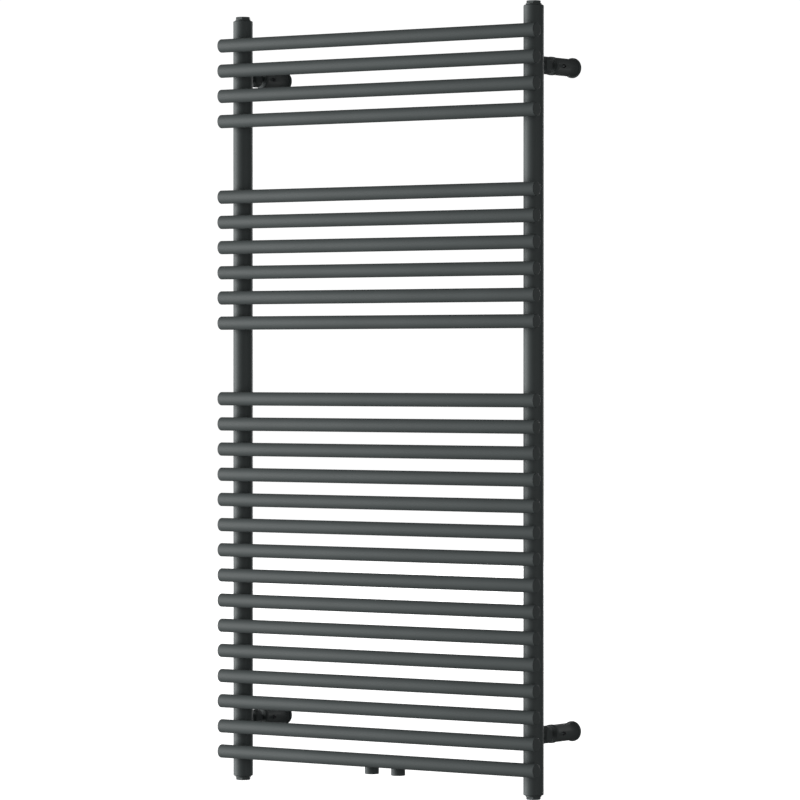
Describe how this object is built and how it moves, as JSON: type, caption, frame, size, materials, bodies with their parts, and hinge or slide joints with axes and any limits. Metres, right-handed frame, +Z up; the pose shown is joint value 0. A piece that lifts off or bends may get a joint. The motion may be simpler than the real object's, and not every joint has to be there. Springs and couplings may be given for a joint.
{
  "type": "towel radiator",
  "caption": "Wall-hung tubular towel radiator with grouped round bars, two round collectors, end plugs, air vent, centre pipe stubs and telescopic wall brackets.",
  "frame": {"origin": "in the wall plane, midway between the two collectors and at the radiator's mid height", "axes": "+X along the bars to the right seen from the front, +Y into the wall, +Z up"},
  "size_m": [0.6, 0.1473, 1.213],
  "materials": {
    "powder_coat": "anthracite powder coat, satin, over welded steel",
    "bracket_coat": "near-black anthracite powder coat, satin",
    "black_steel": "black-oxide steel",
    "nickel": "nickel-plated brass",
    "seal_rubber": "black moulded rubber"
  },
  "bodies": {
    "wall_fixings": {"bracket_sleeve_top_left": "bracket_coat", "wall_disc_top_left": "bracket_coat", "bracket_sleeve_top_right": "bracket_coat", "wall_disc_top_right": "bracket_coat", "bracket_sleeve_bottom_left": "bracket_coat", "wall_disc_bottom_left": "bracket_coat", "bracket_sleeve_bottom_right": "bracket_coat", "wall_disc_bottom_right": "bracket_coat"},
    "radiator": {"bar_01": "powder_coat", "bar_02": "powder_coat", "bar_03": "powder_coat", "bar_04": "powder_coat", "bar_05": "powder_coat", "bar_06": "powder_coat", "bar_07": "powder_coat", "bar_08": "powder_coat", "bar_09": "powder_coat", "bar_10": "powder_coat", "bar_11": "powder_coat", "bar_12": "powder_coat", "bar_13": "powder_coat", "bar_14": "powder_coat", "bar_15": "powder_coat", "bar_16": "powder_coat", "bar_17": "powder_coat", "bar_18": "powder_coat", "bar_19": "powder_coat", "bar_20": "powder_coat", "bar_21": "powder_coat", "bar_22": "powder_coat", "bar_23": "powder_coat", "bar_24": "powder_coat", "bar_25": "powder_coat", "collector_left": "powder_coat", "connection_stub_left": "powder_coat", "collector_right": "powder_coat", "connection_stub_right": "powder_coat", "blind_plug_bottom_left": "powder_coat", "blind_plug_bottom_right": "powder_coat", "blind_plug_top_left": "powder_coat", "vent_plug_top_right": "powder_coat", "seal_ring_top_left": "seal_rubber", "bracket_boss_top_left": "powder_coat", "bracket_pin_top_left": "bracket_coat", "seal_ring_top_right": "seal_rubber", "bracket_boss_top_right": "powder_coat", "bracket_pin_top_right": "bracket_coat", "seal_ring_bottom_left": "seal_rubber", "bracket_boss_bottom_left": "powder_coat", "bracket_pin_bottom_left": "bracket_coat", "seal_ring_bottom_right": "seal_rubber", "bracket_boss_bottom_right": "powder_coat", "bracket_pin_bottom_right": "bracket_coat"},
    "vent_screw": {"vent_screw": "nickel"},
    "grub_screw_top_left": {"grub_screw_top_left": "black_steel"},
    "grub_screw_top_right": {"grub_screw_top_right": "black_steel"},
    "grub_screw_bottom_left": {"grub_screw_bottom_left": "black_steel"},
    "grub_screw_bottom_right": {"grub_screw_bottom_right": "black_steel"}
  },
  "joints": [
    {"name": "wall_distance_slide", "type": "slide", "parent": "wall_fixings", "child": "radiator", "axis": [0, -1, 0], "range_m": [-0.008, 0.012]},
    {"name": "vent_screw_turn", "type": "hinge", "parent": "radiator", "child": "vent_screw", "pos_m": [0.2765, -0.11, 0.6], "axis": [0, 0, 1], "range_deg": [0, 360]},
    {"name": "grub_turn_top_left", "type": "hinge", "parent": "wall_fixings", "child": "grub_screw_top_left", "pos_m": [-0.2765, -0.046, 0.51], "axis": [1, 0, 0], "range_deg": [0, 540]},
    {"name": "grub_turn_top_right", "type": "hinge", "parent": "wall_fixings", "child": "grub_screw_top_right", "pos_m": [0.2765, -0.046, 0.51], "axis": [1, 0, 0], "range_deg": [0, 540]},
    {"name": "grub_turn_bottom_left", "type": "hinge", "parent": "wall_fixings", "child": "grub_screw_bottom_left", "pos_m": [-0.2765, -0.046, -0.51], "axis": [1, 0, 0], "range_deg": [0, 540]},
    {"name": "grub_turn_bottom_right", "type": "hinge", "parent": "wall_fixings", "child": "grub_screw_bottom_right", "pos_m": [0.2765, -0.046, -0.51], "axis": [1, 0, 0], "range_deg": [0, 540]}
  ]
}
